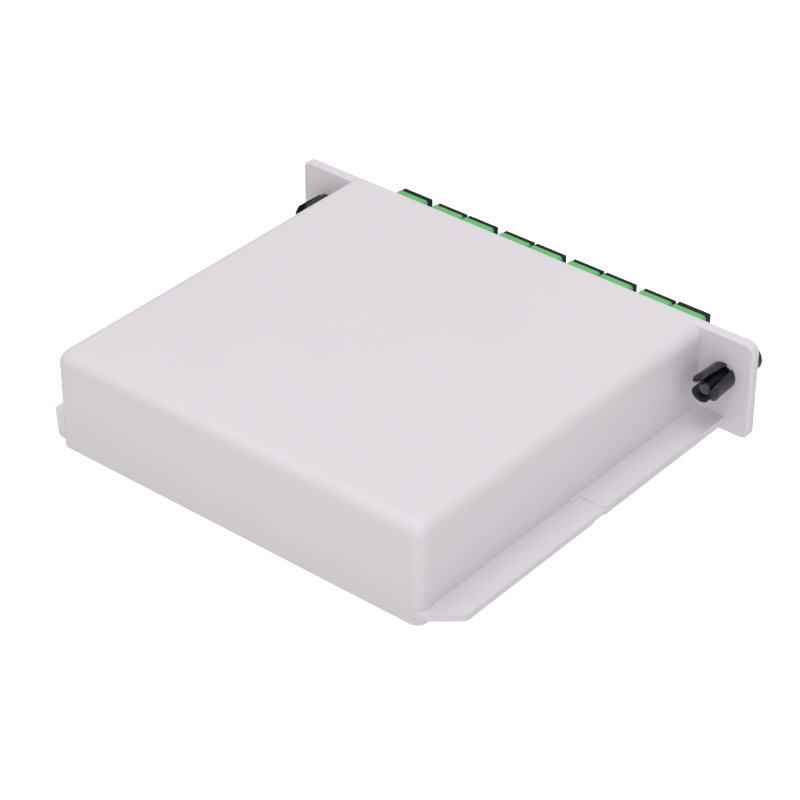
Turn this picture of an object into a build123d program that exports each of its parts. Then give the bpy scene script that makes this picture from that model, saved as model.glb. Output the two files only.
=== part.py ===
from build123d import *
import math
import os

# Plug-in fibre splitter cassette, one input and eight outputs. Sizes in mm.
# The ports face -Y, the guide flanges run along Y, and the origin is on the bottom plane
# under the middle of the cassette.

# Housing sizes
DEPTH = 100.0
HEIGHT = 25.0
BODY_WIDTH = 102.4
WALL = 2.0
TOP_EDGE_RADIUS = 3.4
BACK_CORNER_RADIUS = 2.5
PANEL_FRONT = -DEPTH / 2
BACK_WALL = DEPTH / 2
INNER_HALF_WIDTH = BODY_WIDTH / 2 - WALL
INNER_BACK = BACK_WALL - WALL
ROOF_INSIDE = HEIGHT - WALL

# Port panel sizes; the ears are what stands out at each side of the box
EAR_WIDTH = 14.0
PANEL_THICKNESS = 2.0
PANEL_CORNER_RADIUS = 2.5
PANEL_EDGE_CHAMFER = 0.6
PANEL_WIDTH = BODY_WIDTH + 2 * EAR_WIDTH
PANEL_BACK = PANEL_FRONT + PANEL_THICKNESS

# Guide flange sizes
FLANGE_REACH = 7.6
FLANGE_UNDERSIDE = 2.1
FLANGE_THICKNESS = 1.5
FLANGE_CHAMFER_WIDTH = 7.2
FLANGE_CHAMFER_LENGTH = 6.0
FLANGE_CORNER_RADIUS = 1.3
FLANGE_ROOT_RADIUS = 3.0
STEP_HEIGHT = 0.3
STEP_LENGTH = 44.7
STEP_CORNER_RADIUS = 1.5
STEP_TAIL_WIDTH = 0.8
STEP_TAIL_LENGTH = 2.6
NOTCH_LENGTH = 3.8
NOTCH_WIDTH = 1.5
NOTCH_HEIGHT = 0.5
FLANGE_EDGE = BODY_WIDTH / 2 + FLANGE_REACH

# Bottom cover, bosses and screws
COVER_THICKNESS = 2.0
COVER_LEDGE = 1.0
COVER_GAP = 0.15
BOSS_SIZE = 6.0
BOSS_BEHIND_PLUG = 6.3
SCREW_RADIUS = 1.2
SCREW_GAP = 0.05
SCREW_LENGTH = 9.0
SCREW_HEAD_RADIUS = 2.6
PILOT_DEPTH = 10.0
BOSS_X = INNER_HALF_WIDTH - BOSS_SIZE / 2
BACK_BOSS_Y = INNER_BACK - BOSS_SIZE / 2

# Adapter sizes
ADAPTER_WIDTH = 9.0
ADAPTER_HEIGHT = 12.8
ADAPTER_LENGTH = 27.4
ADAPTER_REACH = 9.3
ADAPTER_SIDE_WALL = 0.75
ADAPTER_ROOF_WALL = 0.7
ADAPTER_EDGE_CHAMFER = 0.5
COLLAR_STEP = 1.3
COLLAR_THICKNESS = 1.9
COLLAR_GAP = 0.1
PARTITION = 1.5
SOCKET_GAP = 0.15
KEYWAY_WIDTH = 2.4
KEYWAY_LENGTH = 9.6
TUBE_SIZE = 4.6
TUBE_LENGTH = 12.2
HOOK_WIDTH = 2.8
HOOK_THICKNESS = 0.75
HOOK_LENGTH = 9.5
HOOK_NOSE = 0.45
HOOK_NOSE_LENGTH = 1.4
HOOK_SIDE_ROOM = 0.3
HOOK_BACK_ROOM = 0.15
HOOK_SET_BACK = 0.2
POCKET_HALF_HEIGHT = ADAPTER_HEIGHT / 2 - ADAPTER_ROOF_WALL
HOOK_INSIDE = POCKET_HALF_HEIGHT - HOOK_BACK_ROOM - HOOK_THICKNESS
NOSE_HEIGHT = HOOK_INSIDE - HOOK_NOSE
SOCKET_WIDTH = ADAPTER_WIDTH - 2 * ADAPTER_SIDE_WALL
SOCKET_HEIGHT = 2 * (HOOK_INSIDE - HOOK_SET_BACK)
SOCKET_DEPTH = (ADAPTER_LENGTH - PARTITION) / 2
ADAPTER_FRONT = PANEL_FRONT - ADAPTER_REACH
ADAPTER_MIDDLE = ADAPTER_FRONT + ADAPTER_LENGTH / 2

# Port places: as many pairs as the box is wide enough for, then the input by itself
PAIR_GAP = 0.2
BETWEEN_PAIRS = 1.95
PORT_SIDE_ROOM = 4.1
PORT_ABOVE_MIDDLE = 0.4
WINDOW_GAP = 0.15
PAIR_SPACING = ADAPTER_WIDTH + PAIR_GAP
PORT_PITCH = ADAPTER_WIDTH + PAIR_SPACING + BETWEEN_PAIRS
LAST_PORT_X = PORT_SIDE_ROOM + ADAPTER_WIDTH / 2 - INNER_HALF_WIDTH
PAIR_COUNT = int(-2 * LAST_PORT_X / PORT_PITCH)
PORT_HEIGHT = HEIGHT / 2 + PORT_ABOVE_MIDDLE

# Ribs that trap the adapters' collars behind the panel
RIB_THICKNESS = 1.5
RIB_GAP = 0.2
COVER_RIB_FROM_WALL = 3.2
RIB_FRONT = PANEL_BACK + COLLAR_GAP + COLLAR_THICKNESS + RIB_GAP

# Ceramic sleeve sizes
FERRULE_RADIUS = 1.25
FERRULE_GAP = 0.02
SLEEVE_WALL = 0.33
SLEEVE_LENGTH = 11.4
SLEEVE_SLOT = 0.5
SLEEVE_GAP = 0.05
SLEEVE_RADIUS = FERRULE_RADIUS + FERRULE_GAP + SLEEVE_WALL

# Dust cap sizes
CAP_SIDE_SET_IN = 0.25
CAP_TOP_SET_IN = 0.55
CAP_HEAD_THICKNESS = 1.95
CAP_EDGE_CHAMFER = 0.2
CAP_SEAT_GAP = 0.15
CAP_SKIRT_LENGTH = 8.5
CAP_SKIRT_WALL = 0.9

# How much further out than the others two caps sit, as they were pushed in by hand
CAP_FURTHER_OUT = {"input": 0.25, "output_8": 0.35}

# Inner plug sizes, measured along Y from the adapter's middle
PLUG_START = 1.4
PLUG_LENGTH = 23.9
PLUG_CHAMFER = 0.6
PLUG_RECESS_GAP = 0.3
PLUG_SLOT_GAP = 0.2
PLUG_KEY_HEIGHT = 0.6
PLUG_KEY_WIDTH = 2.1
PLUG_KEY_LENGTH = 7.0
FERRULE_TIP = 0.1
BOOT_LENGTH = 12.0
BOOT_LARGE_RADIUS = 2.3
BOOT_SMALL_RADIUS = 1.2
PLUG_END = PLUG_START + PLUG_LENGTH
BOOT_END_Y = ADAPTER_MIDDLE + PLUG_END + BOOT_LENGTH
FRONT_BOSS_Y = ADAPTER_MIDDLE + PLUG_END + BOSS_BEHIND_PLUG

# Splitter module with its end boots
MODULE_LENGTH = 60.0
MODULE_WIDTH = 7.0
MODULE_THICKNESS = 4.0
MODULE_EDGE_CHAMFER = 0.5
MODULE_FROM_BACK = 5.0
MODULE_BOOT_LENGTH = 4.0
MODULE_BOOT_WIDTH = 6.2
MODULE_Y = INNER_BACK - MODULE_FROM_BACK
MODULE_END_X = MODULE_LENGTH / 2 + MODULE_BOOT_LENGTH

# Coiled slack of the leads, and the lead from the coil to each plug
COIL_WIDTH = 4.0
COIL_THICKNESS = 3.0
COIL_FROM_WALL = 1.0
COIL_STRAIGHT = 0.5
COIL_FRONT_RUN = 38.0
LEAD_DIAMETER = 0.9
LEAD_BEND_RADIUS = 10.0
LEAD_STRAIGHT = 0.5
LEAD_OVERLAP = 2.0
COIL_FRONT_Y = BOOT_END_Y + LEAD_STRAIGHT + LEAD_BEND_RADIUS + COIL_WIDTH / 2
COIL_SIDE_X = INNER_HALF_WIDTH - COIL_FROM_WALL - COIL_WIDTH / 2
COIL_BACK_RADIUS = COIL_SIDE_X - MODULE_END_X - COIL_STRAIGHT
ROOM_IN_WIDTH = COIL_SIDE_X - COIL_FRONT_RUN / 2
ROOM_IN_DEPTH = MODULE_Y - COIL_FRONT_Y - COIL_BACK_RADIUS - COIL_STRAIGHT
COIL_FRONT_RADIUS = min(ROOM_IN_WIDTH, ROOM_IN_DEPTH)
COIL_OUTER_RADIUS = COIL_FRONT_RADIUS + COIL_WIDTH / 2
FRONT_RUN_END = COIL_SIDE_X - COIL_FRONT_RADIUS

# Cradles on the cover that hold the module and the coil
CRADLE_THICKNESS = 3.0
CRADLE_WALL = 1.2
CRADLE_GAP = 0.15
CRADLE_DEPTH = 3.0
MODULE_CRADLE_X = 20.0
POST_FROM_BEND = 4.0

# Latches: a split sleeve in each ear of the panel, spread by a plunger
LATCH_FROM_EDGE = 7.5
LATCH_ABOVE_MIDDLE = 2.2
LATCH_HOLE_RADIUS = 2.6
LATCH_NECK_GAP = 0.1
LATCH_SEAT_GAP = 0.1
GROMMET_FLANGE_RADIUS = 4.6
GROMMET_FLANGE_THICKNESS = 1.8
PETAL_ROOT_RADIUS = 3.3
PETAL_FLARE_RADIUS = 3.6
PETAL_TIP_RADIUS = 3.0
PETAL_TIP_LENGTH = 1.2
PETAL_LENGTH = 8.2
PETAL_COUNT = 3
MOUTH_RADIUS = 2.3
MOUTH_LENGTH = 2.4
SLOT_ROOT_WIDTH = 1.4
SLOT_TIP_WIDTH = 3.0
PIN_RADIUS = 1.6
PIN_GAP = 0.08
PIN_REACH = 7.6
PIN_END_CHAMFER = 0.5
KNOB_RADIUS = 3.6
KNOB_WAIST_RADIUS = 3.0
KNOB_LENGTH = 6.0
KNOB_RIM = 1.8
KNOB_GAP = 0.3
LATCH_X = PANEL_WIDTH / 2 - LATCH_FROM_EDGE
LATCH_HEIGHT = HEIGHT / 2 + LATCH_ABOVE_MIDDLE

# Sides of the small round pieces and holes inside, which are drawn flat-sided to stay light
HOLE_SIDES = 24
PIN_SIDES = 12
FERRULE_SIDES = 8
BOOT_SIDES = 6
LEAD_SIDES = 5
SCREW_SIDES = 12

ABOVE_ORIGIN = (Align.CENTER, Align.CENTER, Align.MIN)
BEHIND_ORIGIN = (Align.CENTER, Align.MIN, Align.CENTER)
BEFORE_ORIGIN = (Align.CENTER, Align.MAX, Align.CENTER)
ALONG_Y = Rot(-90, 0, 0)
AGAINST_Y = Rot(90, 0, 0)


def output_port_places():
    """X of the eight output ports, from the input's neighbour to the far end."""
    far_ones = [LAST_PORT_X + PORT_PITCH * i for i in reversed(range(PAIR_COUNT))]
    return [x + from_far for x in far_ones for from_far in (PAIR_SPACING, 0)]


def input_port_place():
    """X of the input port, alone in the place after the pairs."""
    return LAST_PORT_X + PORT_PITCH * PAIR_COUNT


def screw_places():
    """Centres of the four cover screws: two behind the plugs, two at the back wall."""
    return [(side * BOSS_X, y) for side in (-1, 1) for y in (FRONT_BOSS_Y, BACK_BOSS_Y)]


def block(x_range, y_range, z_range):
    """Box between two limits on each axis."""
    size = [high - low for low, high in (x_range, y_range, z_range)]
    middle = [(high + low) / 2 for low, high in (x_range, y_range, z_range)]
    return Pos(*middle) * Box(*size)


def turned(profile):
    """Solid turned about the Y axis from points given as radius and Y."""
    return revolve(make_face(Polyline(*profile, close=True)), Axis.Y)


def flat_sided(start_radius, end_radius, length, sides):
    """Upright prism or taper with flat sides, standing on the origin."""
    inset = (start_radius - end_radius) * math.cos(math.pi / sides)
    slope = math.degrees(math.atan2(inset, length))
    return extrude(RegularPolygon(start_radius, sides), length, taper=slope)


# Housing

def body_outside():
    """Closed outer form of the box, rounded along the roof and the back corners."""
    half = BODY_WIDTH / 2
    body = block((-half, half), (PANEL_FRONT, BACK_WALL), (0, HEIGHT))
    body = fillet(body.edges().filter_by(Axis.Z).group_by(Axis.Y)[-1], BACK_CORNER_RADIUS)
    roof_edges = body.faces().sort_by(Axis.Z)[-1].edges().sort_by(Axis.Y)[1:]
    return fillet(roof_edges, TOP_EDGE_RADIUS)


def body_inside():
    """Hollow of the box, and the ledge that takes the cover."""
    half = INNER_HALF_WIDTH
    hollow = block((-half, half), (PANEL_BACK, INNER_BACK), (0, ROOF_INSIDE))
    return hollow + cover_plate(0.0)


def cover_plate(gap):
    """Plate that fills the ledge in the housing's underside, smaller all round by a gap."""
    half = INNER_HALF_WIDTH + COVER_LEDGE - gap
    limits_y = (PANEL_BACK + gap, INNER_BACK + COVER_LEDGE - gap)
    plate = block((-half, half), limits_y, (0, COVER_THICKNESS))
    back_posts = plate.edges().filter_by(Axis.Z).group_by(Axis.Y)[-1]
    return fillet(back_posts, BACK_CORNER_RADIUS - WALL + COVER_LEDGE - gap)


def port_panel():
    """Front plate with rounded corners, its back edges broken all round."""
    outline = RectangleRounded(PANEL_WIDTH, HEIGHT, PANEL_CORNER_RADIUS)
    on_back_face = Plane.XZ.offset(-PANEL_BACK)
    plate = extrude(on_back_face * Pos(0, HEIGHT / 2) * outline, PANEL_THICKNESS)
    return chamfer(plate.faces().sort_by(Axis.Y)[-1].edges(), PANEL_EDGE_CHAMFER)


def guide_flange():
    """Right-hand guide flange: chamfered back end, raised front stretch, notch below."""
    wall = BODY_WIDTH / 2
    root = wall - WALL / 2
    outer_corner = (FLANGE_EDGE, BACK_WALL - FLANGE_CHAMFER_LENGTH)
    root_corner = (FLANGE_EDGE - FLANGE_CHAMFER_WIDTH, BACK_WALL)
    round_start = wall - BACK_CORNER_RADIUS
    outline = make_face(Polyline(
        (root, PANEL_BACK), (FLANGE_EDGE, PANEL_BACK), outer_corner, root_corner,
        (round_start, BACK_WALL), (root, BACK_WALL - BACK_CORNER_RADIUS), close=True,
    ))
    for corner, radius in (
        (outer_corner, FLANGE_CORNER_RADIUS),
        (root_corner, FLANGE_ROOT_RADIUS),
    ):
        outline = fillet(outline.vertices().sort_by_distance(corner)[0], radius)
    flange = Pos(0, 0, FLANGE_UNDERSIDE) * extrude(outline, FLANGE_THICKNESS)

    step_end = PANEL_BACK + STEP_LENGTH
    step_corner = (FLANGE_EDGE, step_end)
    tail_edge = wall + STEP_TAIL_WIDTH
    tail_end = step_end + STEP_TAIL_LENGTH
    step = make_face(Polyline(
        (root, PANEL_BACK), (FLANGE_EDGE, PANEL_BACK), step_corner,
        (tail_edge, step_end), (tail_edge, tail_end), (root, tail_end), close=True,
    ))
    step = fillet(step.vertices().sort_by_distance(step_corner)[0], STEP_CORNER_RADIUS)
    flange += Pos(0, 0, FLANGE_UNDERSIDE) * extrude(step, FLANGE_THICKNESS + STEP_HEIGHT)

    notch = block(
        (FLANGE_EDGE - NOTCH_WIDTH, FLANGE_EDGE),
        (step_end, step_end + NOTCH_LENGTH),
        (FLANGE_UNDERSIDE, FLANGE_UNDERSIDE + NOTCH_HEIGHT),
    )
    return flange - notch


def port_window(x, width):
    """Opening in the panel for adapters that stand side by side over a given width."""
    outline = Rectangle(width + 2 * WINDOW_GAP, ADAPTER_HEIGHT + 2 * WINDOW_GAP)
    on_back_face = Plane.XZ.offset(-PANEL_BACK)
    return extrude(on_back_face * Pos(x, PORT_HEIGHT) * outline, PANEL_THICKNESS)


def housing():
    """Box, panel and flanges as one moulding, with ribs, bosses, windows and latch holes."""
    shell = body_outside() + port_panel()
    flange = guide_flange()
    shell += flange + mirror(flange, Plane.YZ)
    shell -= body_inside()

    adapter_top = PORT_HEIGHT + ADAPTER_HEIGHT / 2
    shell += block(
        (-INNER_HALF_WIDTH, INNER_HALF_WIDTH),
        (RIB_FRONT, RIB_FRONT + RIB_THICKNESS),
        (adapter_top + RIB_GAP, ROOF_INSIDE),
    )
    boss_height = ROOF_INSIDE - COVER_THICKNESS
    pilot_radius = SCREW_RADIUS + SCREW_GAP
    for x, y in screw_places():
        at_cover = Pos(x, y, COVER_THICKNESS)
        shell += at_cover * Box(BOSS_SIZE, BOSS_SIZE, boss_height, align=ABOVE_ORIGIN)
        shell -= at_cover * flat_sided(pilot_radius, pilot_radius, PILOT_DEPTH, SCREW_SIDES)

    outputs = output_port_places()
    for near, far in zip(outputs[::2], outputs[1::2]):
        shell -= port_window((near + far) / 2, PAIR_SPACING + ADAPTER_WIDTH)
    shell -= port_window(input_port_place(), ADAPTER_WIDTH)

    latch_hole = flat_sided(LATCH_HOLE_RADIUS, LATCH_HOLE_RADIUS, PANEL_THICKNESS, HOLE_SIDES)
    for side in (-1, 1):
        shell -= Pos(side * LATCH_X, PANEL_FRONT, LATCH_HEIGHT) * ALONG_Y * latch_hole
    return shell


# Bottom cover and screws

def cradle(x, y, width, seat_height):
    """Post with a square notch that takes a bar of a given width lying along X."""
    half_notch = width / 2 + CRADLE_GAP
    half_post = half_notch + CRADLE_WALL
    limits_x = (x - CRADLE_THICKNESS / 2, x + CRADLE_THICKNESS / 2)
    top = seat_height + CRADLE_DEPTH
    post = block(limits_x, (y - half_post, y + half_post), (COVER_THICKNESS, top))
    return post - block(limits_x, (y - half_notch, y + half_notch), (seat_height, top))


def coil_post(x):
    """Post with a ledge under the coil's front run and a wall behind it, open at the front,
    where the leads leave the coil."""
    limits_x = (x - CRADLE_THICKNESS / 2, x + CRADLE_THICKNESS / 2)
    seat_height = PORT_HEIGHT - COIL_THICKNESS / 2
    front = COIL_FRONT_Y - COIL_WIDTH / 2
    behind = COIL_FRONT_Y + COIL_WIDTH / 2 + CRADLE_GAP
    ledge = block(limits_x, (front, behind), (COVER_THICKNESS, seat_height))
    wall_top = seat_height + CRADLE_DEPTH
    return ledge + block(limits_x, (behind, behind + CRADLE_WALL), (COVER_THICKNESS, wall_top))


def bottom_cover():
    """Cover plate with countersunk holes, the lower collar rib, cradles and coil posts."""
    cover = cover_plate(COVER_GAP)
    rib_half = INNER_HALF_WIDTH - COVER_RIB_FROM_WALL
    adapter_underside = PORT_HEIGHT - ADAPTER_HEIGHT / 2
    cover += block(
        (-rib_half, rib_half),
        (RIB_FRONT, RIB_FRONT + RIB_THICKNESS),
        (COVER_THICKNESS, adapter_underside - RIB_GAP),
    )
    module_seat = PORT_HEIGHT - MODULE_THICKNESS / 2
    for side in (-1, 1):
        cover += cradle(side * MODULE_CRADLE_X, MODULE_Y, MODULE_WIDTH, module_seat)
        cover += coil_post(side * (FRONT_RUN_END - POST_FROM_BEND))

    sink = flat_sided(
        SCREW_HEAD_RADIUS + SCREW_GAP, SCREW_RADIUS + SCREW_GAP, COVER_THICKNESS, SCREW_SIDES
    )
    for x, y in screw_places():
        cover -= Pos(x, y, 0) * sink
    return cover


def cover_screws():
    """Four countersunk screws, heads flush with the underside."""
    head = flat_sided(SCREW_HEAD_RADIUS, SCREW_RADIUS, COVER_THICKNESS, SCREW_SIDES)
    screw = head + flat_sided(SCREW_RADIUS, SCREW_RADIUS, SCREW_LENGTH, SCREW_SIDES)
    return Compound([Pos(x, y, 0) * screw for x, y in screw_places()])


# Adapter, made along Y about its own middle

def both_ends(piece):
    """A piece of the back end, repeated at the front end."""
    return piece + mirror(piece, Plane.XZ)


def socket_space():
    """Hollow of the back socket: plug room, pockets for the hooks, and the keyway."""
    start = PARTITION / 2
    end = ADAPTER_LENGTH / 2
    pocket_width = HOOK_WIDTH + 2 * HOOK_SIDE_ROOM
    at_start = Pos(0, start, 0)
    space = at_start * Box(SOCKET_WIDTH, SOCKET_DEPTH, SOCKET_HEIGHT, align=BEHIND_ORIGIN)
    space += at_start * Box(
        pocket_width, SOCKET_DEPTH, 2 * POCKET_HALF_HEIGHT, align=BEHIND_ORIGIN
    )
    space += block(
        (0, ADAPTER_WIDTH / 2), (end - KEYWAY_LENGTH, end), (-KEYWAY_WIDTH / 2, KEYWAY_WIDTH / 2)
    )
    return space


def hook():
    """Upper spring hook of the back socket, with a sloped nose that snaps into a plug."""
    tip = PARTITION / 2 + HOOK_LENGTH
    side_view = make_face(Plane.YZ * Polyline(
        (PARTITION / 2, HOOK_INSIDE),
        (tip - HOOK_NOSE_LENGTH, HOOK_INSIDE),
        (tip - HOOK_NOSE_LENGTH, NOSE_HEIGHT),
        (tip, HOOK_INSIDE),
        (tip, HOOK_INSIDE + HOOK_THICKNESS),
        (PARTITION / 2, HOOK_INSIDE + HOOK_THICKNESS),
        close=True,
    ))
    return extrude(side_view, HOOK_WIDTH / 2, both=True)


def adapter():
    """Adapter body with a socket at each end, sleeve tube, hooks and the collar."""
    body = Box(ADAPTER_WIDTH, ADAPTER_LENGTH, ADAPTER_HEIGHT)
    body = chamfer(body.edges().filter_by(Axis.Y), ADAPTER_EDGE_CHAMFER)
    collar_front = PANEL_BACK + COLLAR_GAP - ADAPTER_MIDDLE
    collar_height = ADAPTER_HEIGHT + 2 * COLLAR_STEP
    collar = Box(ADAPTER_WIDTH, COLLAR_THICKNESS, collar_height, align=BEHIND_ORIGIN)
    body += Pos(0, collar_front, 0) * collar
    body -= both_ends(socket_space())
    upper_hook = hook()
    body += both_ends(upper_hook + mirror(upper_hook, Plane.XY))
    body += Box(TUBE_SIZE, TUBE_LENGTH, TUBE_SIZE)
    bore_radius = SLEEVE_RADIUS + SLEEVE_GAP
    bore = flat_sided(bore_radius, bore_radius, TUBE_LENGTH, FERRULE_SIDES)
    return body - Pos(0, -TUBE_LENGTH / 2, 0) * ALONG_Y * bore


def alignment_sleeve():
    """Split ceramic sleeve in the adapter's tube."""
    ring = RegularPolygon(SLEEVE_RADIUS, FERRULE_SIDES)
    ring -= RegularPolygon(SLEEVE_RADIUS - SLEEVE_WALL, FERRULE_SIDES)
    ring -= Pos(0, SLEEVE_RADIUS) * Rectangle(SLEEVE_SLOT, SLEEVE_RADIUS)
    return Pos(0, -SLEEVE_LENGTH / 2, 0) * ALONG_Y * extrude(ring, SLEEVE_LENGTH)


# Dust cap, placed like the adapter

def dust_cap():
    """Flat head in front of the adapter on a hollow skirt that fits the front socket."""
    seat = -ADAPTER_LENGTH / 2 - CAP_SEAT_GAP
    head_width = ADAPTER_WIDTH - 2 * CAP_SIDE_SET_IN
    head_height = ADAPTER_HEIGHT - 2 * CAP_TOP_SET_IN
    head = Box(head_width, CAP_HEAD_THICKNESS, head_height, align=BEFORE_ORIGIN)
    head = chamfer(head.faces().sort_by(Axis.Y)[0].edges(), CAP_EDGE_CHAMFER)
    width = SOCKET_WIDTH - 2 * SOCKET_GAP
    height = 2 * (NOSE_HEIGHT - SOCKET_GAP)
    skirt = Box(width, CAP_SKIRT_LENGTH, height, align=BEHIND_ORIGIN)
    skirt -= Box(
        width - 2 * CAP_SKIRT_WALL, CAP_SKIRT_LENGTH, height - 2 * CAP_SKIRT_WALL,
        align=BEHIND_ORIGIN,
    )
    return Pos(0, seat, 0) * (head + skirt)


# Inner plug, placed like the adapter

def inner_plug():
    """Plug in the back socket: grooved body, key, ferrule and tapered boot."""
    width = SOCKET_WIDTH - 2 * SOCKET_GAP
    height = SOCKET_HEIGHT - 2 * SOCKET_GAP
    plug = Box(width, PLUG_LENGTH, height, align=BEHIND_ORIGIN)
    plug = chamfer(plug.edges().filter_by(Axis.Y), PLUG_CHAMFER)
    plug = Pos(0, PLUG_START, 0) * plug

    recess = TUBE_SIZE + 2 * PLUG_RECESS_GAP
    recess_end = TUBE_LENGTH / 2 + PLUG_RECESS_GAP
    half = recess / 2
    plug -= block((-half, half), (PLUG_START, recess_end), (-half, half))

    groove_half = HOOK_WIDTH / 2 + PLUG_SLOT_GAP
    groove_end = PARTITION / 2 + HOOK_LENGTH + PLUG_SLOT_GAP
    groove_floor = NOSE_HEIGHT - PLUG_SLOT_GAP
    groove = block(
        (-groove_half, groove_half), (PLUG_START, groove_end), (groove_floor, height / 2)
    )
    plug -= groove + mirror(groove, Plane.XY)

    key_end = ADAPTER_LENGTH / 2 - PLUG_SLOT_GAP
    plug += block(
        (width / 2, width / 2 + PLUG_KEY_HEIGHT),
        (key_end - PLUG_KEY_LENGTH, key_end),
        (-PLUG_KEY_WIDTH / 2, PLUG_KEY_WIDTH / 2),
    )
    ferrule_length = recess_end - FERRULE_TIP
    ferrule = flat_sided(FERRULE_RADIUS, FERRULE_RADIUS, ferrule_length, FERRULE_SIDES)
    plug += Pos(0, FERRULE_TIP, 0) * ALONG_Y * ferrule
    boot = flat_sided(BOOT_LARGE_RADIUS, BOOT_SMALL_RADIUS, BOOT_LENGTH, BOOT_SIDES)
    return plug + Pos(0, PLUG_END, 0) * ALONG_Y * boot


# Splitter module and fibre

def splitter_module():
    """Steel tube with the splitter chip, lying along X at the back."""
    tube = Box(MODULE_LENGTH, MODULE_WIDTH, MODULE_THICKNESS)
    tube = chamfer(tube.edges().filter_by(Axis.X), MODULE_EDGE_CHAMFER)
    return Pos(0, MODULE_Y, PORT_HEIGHT) * tube


def module_boot(side):
    """Rubber end of the module that narrows to the bundle of leads."""
    wide_half = MODULE_BOOT_WIDTH / 2
    narrow_half = COIL_WIDTH / 2
    outline = make_face(Polyline(
        (0, -wide_half), (MODULE_BOOT_LENGTH, -narrow_half),
        (MODULE_BOOT_LENGTH, narrow_half), (0, wide_half), close=True,
    ))
    boot = extrude(outline, COIL_THICKNESS / 2, both=True)
    boot = Pos(MODULE_LENGTH / 2, MODULE_Y, PORT_HEIGHT) * boot
    return boot if side > 0 else mirror(boot, Plane.YZ)


def fibre_coil():
    """Tied slack of all the leads, from one end of the module round to the other."""
    corners = [
        (-MODULE_END_X, MODULE_Y), (-COIL_SIDE_X, MODULE_Y), (-COIL_SIDE_X, COIL_FRONT_Y),
        (COIL_SIDE_X, COIL_FRONT_Y), (COIL_SIDE_X, MODULE_Y), (MODULE_END_X, MODULE_Y),
    ]
    bends = [COIL_BACK_RADIUS, COIL_FRONT_RADIUS, COIL_FRONT_RADIUS, COIL_BACK_RADIUS]
    route = FilletPolyline(*[(x, y, PORT_HEIGHT) for x, y in corners], radius=bends)
    start = Plane(origin=route @ 0, x_dir=(0, 1, 0), z_dir=route % 0)
    return sweep(start * Rectangle(COIL_WIDTH, COIL_THICKNESS), path=route)


def lead_route(x):
    """Way of one lead: it leaves the outer side of the coil's front run or front left bend
    along the coil, then bends towards the boot of the plug at x."""
    reach = (LEAD_BEND_RADIUS - FRONT_RUN_END - x) / (COIL_OUTER_RADIUS + LEAD_BEND_RADIUS)
    turn = math.acos(reach) if reach > 0 else math.pi / 2
    start_x = x - LEAD_BEND_RADIUS * (1 - math.cos(turn))
    start_y = COIL_FRONT_Y + COIL_FRONT_RADIUS - COIL_OUTER_RADIUS * math.sin(turn)
    heading = Vector(math.sin(turn), -math.cos(turn))
    start = Vector(start_x, start_y, PORT_HEIGHT)
    corner = start + heading * LEAD_BEND_RADIUS * math.tan(turn / 2)
    end = Vector(x, BOOT_END_Y, PORT_HEIGHT)
    return FilletPolyline(start - heading * LEAD_OVERLAP, corner, end, radius=LEAD_BEND_RADIUS)


def fibre_lead(x):
    """Lead from the coil to the plug at x, mirrored for a port in front of the right bend."""
    side = -1 if x > FRONT_RUN_END + LEAD_BEND_RADIUS else 1
    route = lead_route(side * x)
    start = Plane(origin=route @ 0, x_dir=(0, 0, 1), z_dir=route % 0)
    lead = sweep(start * RegularPolygon(LEAD_DIAMETER / 2, LEAD_SIDES), path=route)
    return lead if side > 0 else mirror(lead, Plane.YZ)


# Latches

def petal_slot(start, end):
    """Slot between two petals on the -X side, which widens from the panel to the tips."""
    root_half = SLOT_ROOT_WIDTH / 2
    tip_half = SLOT_TIP_WIDTH / 2
    outline = make_face(Plane.YZ * Polyline(
        (start, -root_half), (end, -tip_half), (end, tip_half), (start, root_half), close=True
    ))
    return extrude(outline, -2 * PETAL_FLARE_RADIUS)


def latch_grommet():
    """Split sleeve about the Y axis: flange on the panel's face, three petals behind it,
    a slot towards -X."""
    bore_radius = PIN_RADIUS + PIN_GAP
    front = PANEL_FRONT - GROMMET_FLANGE_THICKNESS
    tip = PANEL_BACK + PETAL_LENGTH
    neck = LATCH_HOLE_RADIUS - LATCH_NECK_GAP
    seat = PANEL_BACK + LATCH_SEAT_GAP
    sleeve = turned([
        (0, front),
        (GROMMET_FLANGE_RADIUS, front),
        (GROMMET_FLANGE_RADIUS, PANEL_FRONT),
        (neck, PANEL_FRONT),
        (neck, seat),
        (PETAL_ROOT_RADIUS, seat),
        (PETAL_FLARE_RADIUS, tip - PETAL_TIP_LENGTH),
        (PETAL_TIP_RADIUS, tip),
        (0, tip),
    ])
    bore = flat_sided(bore_radius, bore_radius, tip - front, PIN_SIDES)
    mouth = flat_sided(MOUTH_RADIUS, bore_radius, MOUTH_LENGTH, PIN_SIDES)
    sleeve -= Pos(0, front, 0) * ALONG_Y * bore
    sleeve -= Pos(0, tip, 0) * AGAINST_Y * mouth
    for number in range(PETAL_COUNT):
        sleeve -= Rot(0, number * 360 / PETAL_COUNT, 0) * petal_slot(seat, tip)
    return sleeve


def latch_plunger():
    """Knob with a rim for the fingers, and the pin that spreads the petals."""
    back = PANEL_FRONT - GROMMET_FLANGE_THICKNESS - KNOB_GAP
    front = back - KNOB_LENGTH
    rim_end = front + KNOB_RIM
    pin_length = PANEL_BACK + PIN_REACH - back
    knob = turned([
        (0, front),
        (KNOB_RADIUS, front),
        (KNOB_RADIUS, rim_end),
        (KNOB_WAIST_RADIUS, rim_end),
        (KNOB_WAIST_RADIUS, back),
        (0, back),
    ])
    pin = flat_sided(PIN_RADIUS, PIN_RADIUS, pin_length, PIN_SIDES)
    pin = chamfer(pin.faces().sort_by(Axis.Z)[-1].edges(), PIN_END_CHAMFER)
    return knob + Pos(0, back, 0) * ALONG_Y * pin


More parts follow.
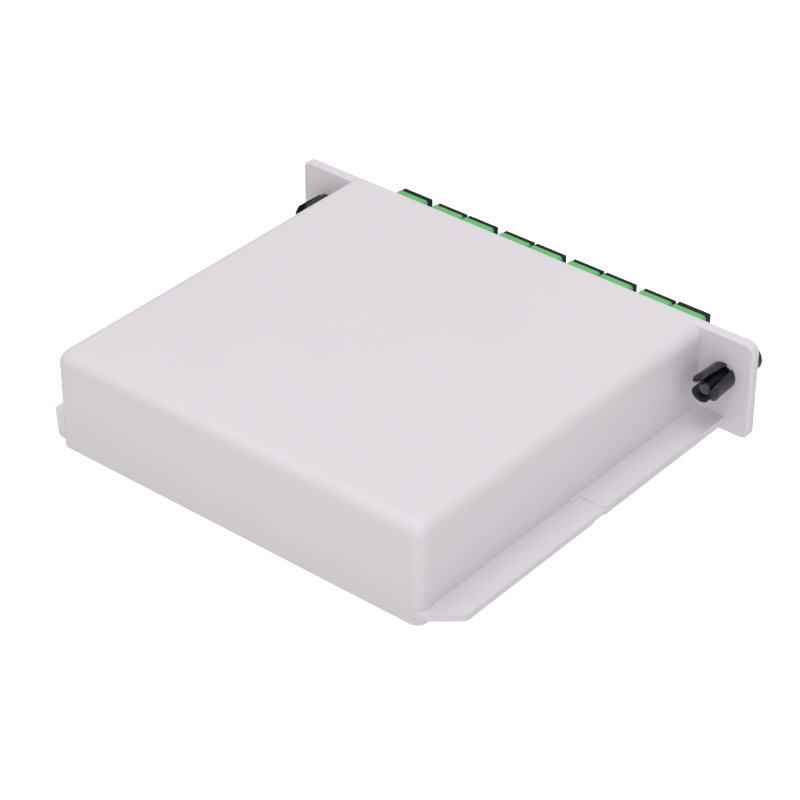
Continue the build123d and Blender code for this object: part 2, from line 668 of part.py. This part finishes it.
def build():
    """Every piece by the name of its node."""
    pieces = {
        "housing": housing(),
        "bottom_cover": bottom_cover(),
        "cover_screws": cover_screws(),
        "splitter_module": splitter_module(),
        "module_boot_input": module_boot(1),
        "module_boot_output": module_boot(-1),
        "fibre_coil": fibre_coil(),
    }
    grommet = latch_grommet()
    plunger = latch_plunger()
    for name, side in (("left", -1), ("right", 1)):
        at_ear = Pos(side * LATCH_X, 0, LATCH_HEIGHT)
        slot_inwards = Rot(0, 90 - 90 * side, 0)
        pieces[f"latch_grommet_{name}"] = at_ear * slot_inwards * grommet
        pieces[f"latch_plunger_{name}"] = at_ear * plunger

    port_pieces = {
        "adapter": adapter(),
        "sleeve": alignment_sleeve(),
        "cap": dust_cap(),
        "plug": inner_plug(),
    }
    ports = {"input": input_port_place()}
    for number, x in enumerate(output_port_places(), start=1):
        ports[f"output_{number}"] = x
    for port, x in ports.items():
        at_port = Pos(x, ADAPTER_MIDDLE, PORT_HEIGHT)
        for kind, piece in port_pieces.items():
            pieces[f"{port}_{kind}"] = at_port * piece
        pieces[f"{port}_cap"] = Pos(0, -CAP_FURTHER_OUT.get(port, 0), 0) * pieces[f"{port}_cap"]
        pieces[f"{port}_fibre"] = fibre_lead(x)
    return pieces


os.makedirs("parts", exist_ok=True)
for node, shape in build().items():
    export_step(shape, f"parts/{node}.step")
coil_bends = [round(COIL_BACK_RADIUS, 1), round(COIL_FRONT_RADIUS, 1)]
print("coil bends", coil_bends, "lead bends", LEAD_BEND_RADIUS)
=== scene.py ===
import bmesh
import bpy
import math
from mathutils import Matrix, Vector


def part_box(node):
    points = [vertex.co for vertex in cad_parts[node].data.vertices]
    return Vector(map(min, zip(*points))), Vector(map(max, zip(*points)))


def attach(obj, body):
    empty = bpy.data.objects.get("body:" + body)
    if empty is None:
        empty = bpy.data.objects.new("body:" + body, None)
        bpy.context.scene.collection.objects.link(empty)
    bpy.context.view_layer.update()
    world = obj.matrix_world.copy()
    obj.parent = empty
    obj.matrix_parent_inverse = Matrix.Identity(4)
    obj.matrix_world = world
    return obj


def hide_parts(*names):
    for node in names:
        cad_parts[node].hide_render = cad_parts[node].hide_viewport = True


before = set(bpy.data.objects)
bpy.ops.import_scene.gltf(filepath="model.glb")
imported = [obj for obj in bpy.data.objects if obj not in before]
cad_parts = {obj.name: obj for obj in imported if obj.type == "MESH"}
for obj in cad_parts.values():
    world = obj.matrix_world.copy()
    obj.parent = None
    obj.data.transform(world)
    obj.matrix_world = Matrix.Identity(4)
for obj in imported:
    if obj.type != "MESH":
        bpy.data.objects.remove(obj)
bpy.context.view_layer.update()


# Housing and bottom cover
# The box, its port panel and its guide flanges are one injection moulding in off-white plastic,
# with a fine spark-eroded grain. The cover is moulded in the same plastic and screwed on below.

CASE_WHITE = (0.742, 0.708, 0.744)
CASE_SHADE = (0.716, 0.683, 0.717)
CASE_ROUGHNESS = 0.5
CASE_GRAIN_PER_METRE = 2600.0
CASE_GRAIN_DEPTH = 2e-5
CASE_EDGE = 0.00025
DRIFT_PER_METRE = 28.0
DRIFT_DETAIL = 3.0
GRAIN_DETAIL = 2.0
GRAIN_STRENGTH = 0.35
GLOSS_SPREAD = 0.05
EDGE_SAMPLES = 6


def moulded(name, colour, shade, roughness, grain_per_metre, grain_depth, edge, sheen=0.5):
    """Moulded plastic: a slow drift of colour, a fine grain, an uneven gloss and soft edges."""
    material = bpy.data.materials.new(name)
    material.use_nodes = True
    tree = material.node_tree
    shader = tree.nodes["Principled BSDF"]
    shader.inputs["Specular IOR Level"].default_value = sheen
    place = tree.nodes.new("ShaderNodeTexCoord")

    drift = tree.nodes.new("ShaderNodeTexNoise")
    drift.inputs["Scale"].default_value = DRIFT_PER_METRE
    drift.inputs["Detail"].default_value = DRIFT_DETAIL
    tree.links.new(place.outputs["Object"], drift.inputs["Vector"])
    tint = tree.nodes.new("ShaderNodeMix")
    tint.data_type = "RGBA"
    tint.inputs["A"].default_value = (*shade, 1.0)
    tint.inputs["B"].default_value = (*colour, 1.0)
    tree.links.new(drift.outputs["Fac"], tint.inputs["Factor"])
    tree.links.new(tint.outputs["Result"], shader.inputs["Base Color"])

    grain = tree.nodes.new("ShaderNodeTexNoise")
    grain.inputs["Scale"].default_value = grain_per_metre
    grain.inputs["Detail"].default_value = GRAIN_DETAIL
    tree.links.new(place.outputs["Object"], grain.inputs["Vector"])
    gloss = tree.nodes.new("ShaderNodeMapRange")
    gloss.inputs["To Min"].default_value = roughness - GLOSS_SPREAD
    gloss.inputs["To Max"].default_value = roughness + GLOSS_SPREAD
    tree.links.new(grain.outputs["Fac"], gloss.inputs["Value"])
    tree.links.new(gloss.outputs["Result"], shader.inputs["Roughness"])
    soft_edge = tree.nodes.new("ShaderNodeBevel")
    soft_edge.samples = EDGE_SAMPLES
    soft_edge.inputs["Radius"].default_value = edge
    bump = tree.nodes.new("ShaderNodeBump")
    bump.inputs["Strength"].default_value = GRAIN_STRENGTH
    bump.inputs["Distance"].default_value = grain_depth
    tree.links.new(soft_edge.outputs["Normal"], bump.inputs["Normal"])
    tree.links.new(grain.outputs["Fac"], bump.inputs["Height"])
    tree.links.new(bump.outputs["Normal"], shader.inputs["Normal"])
    return material


def dress(nodes, material):
    """Gives CAD nodes a material in every slot that they have."""
    for node in nodes:
        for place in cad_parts[node].material_slots:
            place.material = material


case_plastic = moulded(
    "case_plastic", CASE_WHITE, CASE_SHADE, CASE_ROUGHNESS,
    CASE_GRAIN_PER_METRE, CASE_GRAIN_DEPTH, CASE_EDGE,
)
dress(["housing", "bottom_cover"], case_plastic)


# Latches
# Each ear holds a split sleeve and a plunger, both moulded in black nylon.
# The plunger's pin spreads the sleeve's petals behind the panel. Its end face carries a painted
# highlight in pale grey.

LATCH_BLACK = (0.0115, 0.0135, 0.0205)
LATCH_SHADE = (0.0065, 0.007, 0.011)
LATCH_ROUGHNESS = 0.33
LATCH_GRAIN_PER_METRE = 3200.0
LATCH_GRAIN_DEPTH = 1.5e-5
LATCH_EDGE = 0.0002
KNOB_BLACK = (0.007, 0.0075, 0.009)
KNOB_SHADE = (0.005, 0.005, 0.006)
KNOB_ROUGHNESS = 0.4
KNOB_SHEEN = 0.35
# Painted highlight: the pale grey that the pin's end face is painted, standing in for the light
# it catches.
PIN_END_HIGHLIGHT_GREY = (0.075, 0.075, 0.082, 1.0)
PIN_END_Y = -0.0404
PIN_END_HIGHLIGHT_REACH = 0.0006


def paint_pin_end_highlight(material):
    """Paints a highlight on the pin's end face: the colour turns pale grey over its last
    fraction of a millimetre.
    """
    tree = material.node_tree
    base_colour = tree.nodes["Principled BSDF"].inputs["Base Color"]
    plain_colour = base_colour.links[0].from_socket
    place = tree.nodes.new("ShaderNodeTexCoord")
    apart = tree.nodes.new("ShaderNodeSeparateXYZ")
    tree.links.new(place.outputs["Object"], apart.inputs["Vector"])
    near_end = tree.nodes.new("ShaderNodeMapRange")
    near_end.inputs["From Min"].default_value = PIN_END_Y - PIN_END_HIGHLIGHT_REACH
    near_end.inputs["From Max"].default_value = PIN_END_Y
    tree.links.new(apart.outputs["Y"], near_end.inputs["Value"])
    # Painted highlight: mixes the pale grey into the colour close to the pin's end.
    highlighted = tree.nodes.new("ShaderNodeMix")
    highlighted.data_type = "RGBA"
    highlighted.inputs["B"].default_value = PIN_END_HIGHLIGHT_GREY
    tree.links.new(near_end.outputs["Result"], highlighted.inputs["Factor"])
    tree.links.new(plain_colour, highlighted.inputs["A"])
    tree.links.new(highlighted.outputs["Result"], base_colour)


latch_plastic = moulded(
    "latch_plastic", LATCH_BLACK, LATCH_SHADE, LATCH_ROUGHNESS,
    LATCH_GRAIN_PER_METRE, LATCH_GRAIN_DEPTH, LATCH_EDGE,
)
plunger_plastic = moulded(
    "plunger_plastic", KNOB_BLACK, KNOB_SHADE, KNOB_ROUGHNESS,
    LATCH_GRAIN_PER_METRE, LATCH_GRAIN_DEPTH, LATCH_EDGE, KNOB_SHEEN,
)
# The plunger's pin end gets a painted highlight.
paint_pin_end_highlight(plunger_plastic)
dress(["latch_grommet_left", "latch_grommet_right"], latch_plastic)
dress(["latch_plunger_left", "latch_plunger_right"], plunger_plastic)


# Adapters and dust caps
# Each port is an angled adapter moulded in green plastic, closed by a soft black cap.
# The adapter comes from a polished tool, so it shines more than the case. The cap is matt.

ADAPTER_GREEN = (0.138, 0.552, 0.176)
ADAPTER_SHADE = (0.105, 0.49, 0.14)
CAP_BLACK = (0.004, 0.0075, 0.0085)
CAP_SHADE = (0.003, 0.0055, 0.006)
ADAPTER_ROUGHNESS = 0.34
ADAPTER_GRAIN_DEPTH = 6e-6
CAP_ROUGHNESS = 0.55
CAP_GRAIN_DEPTH = 1e-5
CAP_SHEEN = 0.2
PORT_GRAIN_PER_METRE = 3000.0
PORT_EDGE = 0.00015

adapter_plastic = moulded(
    "adapter_plastic", ADAPTER_GREEN, ADAPTER_SHADE, ADAPTER_ROUGHNESS,
    PORT_GRAIN_PER_METRE, ADAPTER_GRAIN_DEPTH, PORT_EDGE,
)
cap_plastic = moulded(
    "cap_plastic", CAP_BLACK, CAP_SHADE, CAP_ROUGHNESS,
    PORT_GRAIN_PER_METRE, CAP_GRAIN_DEPTH, PORT_EDGE, CAP_SHEEN,
)
dress([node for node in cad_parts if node.endswith("_adapter")], adapter_plastic)
dress([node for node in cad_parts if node.endswith("_cap")], cap_plastic)


# Alignment sleeves
# Each adapter's tube holds a split sleeve of ground zirconia, which lines up the two ferrules.
# It is polished, dense and slightly warm in tone.

ZIRCONIA = (0.82, 0.80, 0.74)
ZIRCONIA_SHADE = (0.76, 0.73, 0.66)
ZIRCONIA_ROUGHNESS = 0.18
ZIRCONIA_GRAIN_PER_METRE = 6000.0
ZIRCONIA_GRAIN_DEPTH = 1e-6
ZIRCONIA_EDGE = 5e-5

zirconia = moulded(
    "zirconia", ZIRCONIA, ZIRCONIA_SHADE, ZIRCONIA_ROUGHNESS,
    ZIRCONIA_GRAIN_PER_METRE, ZIRCONIA_GRAIN_DEPTH, ZIRCONIA_EDGE,
)
dress([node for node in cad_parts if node.endswith("_sleeve")], zirconia)


# Inner plugs, leads and coil
# Angled plugs in green plastic sit in the adapters' back sockets. The white leads run from
# them to the tied coil, which lies on two posts of the cover.

PLUG_GREEN = (0.055, 0.36, 0.085)
PLUG_SHADE = (0.045, 0.31, 0.07)
JACKET_WHITE = (0.76, 0.76, 0.72)
JACKET_SHADE = (0.70, 0.70, 0.66)
PLUG_ROUGHNESS = 0.3
PLUG_GRAIN_DEPTH = 5e-6
JACKET_ROUGHNESS = 0.45
JACKET_GRAIN_PER_METRE = 1400.0
JACKET_GRAIN_DEPTH = 2e-5
JACKET_EDGE = 1e-4

plug_plastic = moulded(
    "plug_plastic", PLUG_GREEN, PLUG_SHADE, PLUG_ROUGHNESS,
    PORT_GRAIN_PER_METRE, PLUG_GRAIN_DEPTH, PORT_EDGE,
)
jacket = moulded(
    "fibre_jacket", JACKET_WHITE, JACKET_SHADE, JACKET_ROUGHNESS,
    JACKET_GRAIN_PER_METRE, JACKET_GRAIN_DEPTH, JACKET_EDGE,
)
dress([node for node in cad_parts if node.endswith("_plug")], plug_plastic)
dress([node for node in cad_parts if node.endswith("_fibre")], jacket)
dress(["fibre_coil"], jacket)


# Splitter module and its boots
# A drawn steel tube with the chip inside, closed by a moulded rubber boot at each end.
# It lies in the cover's cradles, out of sight in the closed box.

TUBE_STEEL = (0.56, 0.56, 0.58)
TUBE_DRAW_LINES = (30.0, 2600.0, 2600.0)
STEEL_LINE_DETAIL = 4.0
STEEL_LINE_STRENGTH = 0.2
STEEL_LINE_DEPTH = 1e-5
STEEL_SMOOTHEST = 0.24
STEEL_ROUGHEST = 0.42
BOOT_BLACK = (0.016, 0.016, 0.017)
BOOT_SHADE = (0.011, 0.011, 0.012)
BOOT_ROUGHNESS = 0.6
BOOT_GRAIN_PER_METRE = 2400.0
BOOT_GRAIN_DEPTH = 1.5e-5
BOOT_EDGE = 2e-4


def drawn_steel(name, colour, stretch):
    """Steel with fine lines along the way that it was drawn or turned."""
    material = bpy.data.materials.new(name)
    material.use_nodes = True
    tree = material.node_tree
    shader = tree.nodes["Principled BSDF"]
    shader.inputs["Base Color"].default_value = (*colour, 1.0)
    shader.inputs["Metallic"].default_value = 1.0
    place = tree.nodes.new("ShaderNodeTexCoord")
    along = tree.nodes.new("ShaderNodeMapping")
    along.inputs["Scale"].default_value = stretch
    tree.links.new(place.outputs["Object"], along.inputs["Vector"])
    lines = tree.nodes.new("ShaderNodeTexNoise")
    lines.inputs["Scale"].default_value = 1.0
    lines.inputs["Detail"].default_value = STEEL_LINE_DETAIL
    tree.links.new(along.outputs["Vector"], lines.inputs["Vector"])
    gloss = tree.nodes.new("ShaderNodeMapRange")
    gloss.inputs["To Min"].default_value = STEEL_SMOOTHEST
    gloss.inputs["To Max"].default_value = STEEL_ROUGHEST
    tree.links.new(lines.outputs["Fac"], gloss.inputs["Value"])
    tree.links.new(gloss.outputs["Result"], shader.inputs["Roughness"])
    bump = tree.nodes.new("ShaderNodeBump")
    bump.inputs["Strength"].default_value = STEEL_LINE_STRENGTH
    bump.inputs["Distance"].default_value = STEEL_LINE_DEPTH
    tree.links.new(lines.outputs["Fac"], bump.inputs["Height"])
    tree.links.new(bump.outputs["Normal"], shader.inputs["Normal"])
    return material


boot_rubber = moulded(
    "boot_rubber", BOOT_BLACK, BOOT_SHADE, BOOT_ROUGHNESS,
    BOOT_GRAIN_PER_METRE, BOOT_GRAIN_DEPTH, BOOT_EDGE,
)
dress(["splitter_module"], drawn_steel("module_steel", TUBE_STEEL, TUBE_DRAW_LINES))
dress(["module_boot_input", "module_boot_output"], boot_rubber)


# Cover screws
# Four countersunk steel screws with a cross recess, cold-headed and zinc plated, driven up
# through the cover. Each turned head stands for the plain one of the CAD node.

SCREW_PLATING = (0.50, 0.50, 0.52)
SCREW_LINES = (500.0, 500.0, 500.0)
SCREW_ROUND_STEPS = 48
RECESS_ARM = 0.0013
RECESS_HALF_WIDTH = 0.00028
RECESS_DEPTH = 0.0011
RECESS_FLOOR = 0.45
HEAD_RADIUS = 0.0026
SHANK_RADIUS = 0.0012
HEAD_HEIGHT = 0.002
THREAD_CREST = 0.00118
THREAD_ROOT = 0.00085
THREAD_PITCH = 0.0009
THREAD_STEPS_PER_TURN = 6
THREAD_STEP = THREAD_PITCH / THREAD_STEPS_PER_TURN
TIP_LENGTH = 0.0015
TIP_RADIUS = 1e-5
SCREW_CREASE = math.radians(32)


def joined_rings(mesh, lower, upper):
    """Faces between two rings of as many vertices."""
    for i in range(len(lower)):
        mesh.faces.new((lower[i - 1], lower[i], upper[i], upper[i - 1]))


def cross_outline(mesh, middle, share):
    """Twelve corners of a cross, drawn to a share of its full size."""
    arm = RECESS_ARM * share
    half = RECESS_HALF_WIDTH * share
    quarter = [(arm, -half), (arm, half), (half, half)]
    corners = []
    for turn in range(4):
        spin = Matrix.Rotation(turn * math.pi / 2, 3, "Z")
        corners += [mesh.verts.new(middle + spin @ Vector((x, y, 0.0))) for x, y in quarter]
    return corners


def round_of(mesh, middle, radius_at):
    """Ring of vertices whose radius depends on the angle."""
    angles = [2 * math.pi * i / SCREW_ROUND_STEPS for i in range(SCREW_ROUND_STEPS)]
    return [
        mesh.verts.new(middle + radius_at(a) * Vector((math.cos(a), math.sin(a), 0.0)))
        for a in angles
    ]


def thread_radius(height, length):
    """Radius by angle at one height of the shank: a wound ridge that fades out at the tip."""
    fade = min(1.0, (length - height) / TIP_LENGTH)

    def at_angle(angle):
        phase = (height / THREAD_PITCH - angle / (2 * math.pi)) % 1.0
        ridge = 1.0 - abs(2.0 * phase - 1.0)
        return fade * (THREAD_ROOT + (THREAD_CREST - THREAD_ROOT) * ridge) + TIP_RADIUS

    return at_angle


def add_screw(mesh, foot, length):
    """One screw: flat head with a cross recess below, cone, and threaded shank above."""
    rim = round_of(mesh, foot, lambda angle: HEAD_RADIUS)
    mouth = cross_outline(mesh, foot, 1.0)
    floor_of_recess = cross_outline(mesh, foot + Vector((0, 0, RECESS_DEPTH)), RECESS_FLOOR)
    rim_edges = [mesh.edges.new((rim[i - 1], rim[i])) for i in range(len(rim))]
    mouth_edges = [mesh.edges.new((mouth[i - 1], mouth[i])) for i in range(len(mouth))]
    bmesh.ops.triangle_fill(mesh, edges=rim_edges + mouth_edges, use_beauty=True)
    joined_rings(mesh, mouth, floor_of_recess)
    mesh.faces.new(floor_of_recess)
    ring = round_of(mesh, foot + Vector((0, 0, HEAD_HEIGHT)), lambda angle: SHANK_RADIUS)
    joined_rings(mesh, rim, ring)
    height = HEAD_HEIGHT + THREAD_STEP
    while height < length:
        upper = round_of(mesh, foot + Vector((0, 0, height)), thread_radius(height, length))
        joined_rings(mesh, ring, upper)
        ring = upper
        height += THREAD_STEP
    mesh.faces.new(ring)


def cover_screws(name, material):
    """The four screws as one piece, at the corners of the CAD node's box."""
    low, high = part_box("cover_screws")
    mesh = bmesh.new()
    for x in (low[0] + HEAD_RADIUS, high[0] - HEAD_RADIUS):
        for y in (low[1] + HEAD_RADIUS, high[1] - HEAD_RADIUS):
            add_screw(mesh, Vector((x, y, low[2])), high[2] - low[2])
    bmesh.ops.recalc_face_normals(mesh, faces=mesh.faces)
    data = bpy.data.meshes.new(name)
    mesh.to_mesh(data)
    mesh.free()
    data.materials.append(material)
    data.shade_smooth()
    data.set_sharp_from_angle(angle=SCREW_CREASE)
    piece = bpy.data.objects.new(name, data)
    bpy.context.collection.objects.link(piece)
    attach(piece, "cassette")
    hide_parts("cover_screws")
    return piece


cover_screws("turned_cover_screws", drawn_steel("screw_steel", SCREW_PLATING, SCREW_LINES))


# Floor
# A pale sweep under the cassette. It is white to the camera and still takes a soft shadow.
# From below it can't be seen, and close to the underside and the walls' feet it lets light
# through from below.

FLOOR_SIZE = 6.0
FLOOR_DROP = 0.0002
FLOOR_WHITE = (0.86, 0.86, 0.86)
FLOOR_ROUGHNESS = 0.9
FLOOR_GLOW = 0.6
LET_THROUGH_BELOW = 0.015


def pale_floor():
    """White floor with a glow that the camera alone sees, clear from below and to short rays."""
    half = FLOOR_SIZE / 2
    mesh = bpy.data.meshes.new("floor")
    corners = [(-half, -half, 0.0), (half, -half, 0.0), (half, half, 0.0), (-half, half, 0.0)]
    mesh.from_pydata(corners, [], [(0, 1, 2, 3)])
    material = bpy.data.materials.new("pale_floor")
    material.use_nodes = True
    tree = material.node_tree
    shader = tree.nodes["Principled BSDF"]
    shader.inputs["Base Color"].default_value = (*FLOOR_WHITE, 1.0)
    shader.inputs["Roughness"].default_value = FLOOR_ROUGHNESS
    shader.inputs["Specular IOR Level"].default_value = 0.0
    shader.inputs["Emission Color"].default_value = (1.0, 1.0, 1.0, 1.0)
    seen = tree.nodes.new("ShaderNodeLightPath")
    glow = tree.nodes.new("ShaderNodeMapRange")
    glow.inputs["To Max"].default_value = FLOOR_GLOW
    tree.links.new(seen.outputs["Is Camera Ray"], glow.inputs["Value"])
    tree.links.new(glow.outputs["Result"], shader.inputs["Emission Strength"])
    side = tree.nodes.new("ShaderNodeNewGeometry")
    near = tree.nodes.new("ShaderNodeMath")
    near.operation = "LESS_THAN"
    near.inputs[1].default_value = LET_THROUGH_BELOW
    tree.links.new(seen.outputs["Ray Length"], near.inputs[0])
    clear = tree.nodes.new("ShaderNodeMath")
    clear.operation = "MAXIMUM"
    tree.links.new(side.outputs["Backfacing"], clear.inputs[0])
    tree.links.new(near.outputs["Value"], clear.inputs[1])
    see_through = tree.nodes.new("ShaderNodeBsdfTransparent")
    either = tree.nodes.new("ShaderNodeMixShader")
    tree.links.new(clear.outputs["Value"], either.inputs[0])
    tree.links.new(shader.outputs["BSDF"], either.inputs[1])
    tree.links.new(see_through.outputs["BSDF"], either.inputs[2])
    surface = tree.nodes["Material Output"].inputs["Surface"]
    tree.links.new(either.outputs["Shader"], surface)
    mesh.materials.append(material)
    floor = bpy.data.objects.new("floor", mesh)
    bpy.context.collection.objects.link(floor)
    floor.location.z = -FLOOR_DROP
    return floor


pale_floor()


# Light
# A white room with one large soft lamp above, a weaker one on each side that the photograph
# shows, and a faint one on the ports. Each lamp has its place and width in metres and its
# power in watts, and faces the cassette.

ROOM_LIGHT = 0.44
LIGHT_FROM_BELOW = 0.78
HORIZON_BLEND = 0.15
LAMPS = {
    "lamp_above": ((0.01, 0.12, 0.9), 0.9, 5.05),
    "lamp_back": ((-0.46, 0.84, 0.38), 0.6, 1.66),
    "lamp_side": ((-0.9, 0.12, 0.38), 0.2, 0.68),
    "lamp_ports": ((0.25, -0.9, 0.25), 0.6, 1.1),
}


def white_room():
    """World that shows as white. It lights the part at a plain level, and from below, through
    the clear part of the floor, as strongly as the pale floor farther out does."""
    world = bpy.data.worlds.new("white_room")
    world.use_nodes = True
    tree = world.node_tree
    background = tree.nodes["Background"]
    background.inputs["Color"].default_value = (1.0, 1.0, 1.0, 1.0)
    seen = tree.nodes.new("ShaderNodeLightPath")
    level = tree.nodes.new("ShaderNodeMapRange")
    tree.links.new(seen.outputs["Is Camera Ray"], level.inputs["Value"])
    place = tree.nodes.new("ShaderNodeTexCoord")
    apart = tree.nodes.new("ShaderNodeSeparateXYZ")
    tree.links.new(place.outputs["Generated"], apart.inputs["Vector"])
    around = tree.nodes.new("ShaderNodeMapRange")
    around.inputs["From Min"].default_value = -HORIZON_BLEND
    around.inputs["From Max"].default_value = 0.0
    around.inputs["To Min"].default_value = LIGHT_FROM_BELOW
    around.inputs["To Max"].default_value = ROOM_LIGHT
    tree.links.new(apart.outputs["Z"], around.inputs["Value"])
    tree.links.new(around.outputs["Result"], level.inputs["To Min"])
    tree.links.new(level.outputs["Result"], background.inputs["Strength"])
    return world


bpy.context.scene.world = white_room()
for name, (place, size, power) in LAMPS.items():
    lamp = bpy.data.lights.new(name, "AREA")
    lamp.size = size
    lamp.energy = power
    holder = bpy.data.objects.new(name, lamp)
    holder.location = place
    holder.rotation_euler = Vector(place).to_track_quat("Z", "Y").to_euler()
    bpy.context.collection.objects.link(holder)


# Camera
# It stands behind the cassette, to its left and above it, as the photograph was taken.

CAMERA_AZIMUTH = math.radians(219.446)
CAMERA_ELEVATION = math.radians(34.036)
CAMERA_ROLL = math.radians(0.195)
CAMERA_PLACE = (-0.33640, 0.40295, 0.36250)
LENS_MM = 128.41
NEAREST_SEEN = 0.01
FARTHEST_SEEN = 20.0

flat = math.cos(CAMERA_ELEVATION)
towards_camera = Vector((
    math.sin(CAMERA_AZIMUTH) * flat,
    -math.cos(CAMERA_AZIMUTH) * flat,
    math.sin(CAMERA_ELEVATION),
))
picture_right = Vector((math.cos(CAMERA_AZIMUTH), math.sin(CAMERA_AZIMUTH), 0.0))
picture_up = towards_camera.cross(picture_right)
level_view = Matrix((picture_right, picture_up, towards_camera)).transposed()
view = level_view @ Matrix.Rotation(CAMERA_ROLL, 3, "Z")

lens = bpy.data.cameras.new("camera")
lens.lens = LENS_MM
lens.clip_start = NEAREST_SEEN
lens.clip_end = FARTHEST_SEEN
camera = bpy.data.objects.new("camera", lens)
camera.matrix_world = Matrix.Translation(CAMERA_PLACE) @ view.to_4x4()
bpy.context.collection.objects.link(camera)
bpy.context.scene.camera = camera
bpy.context.scene.view_settings.view_transform = "Standard"
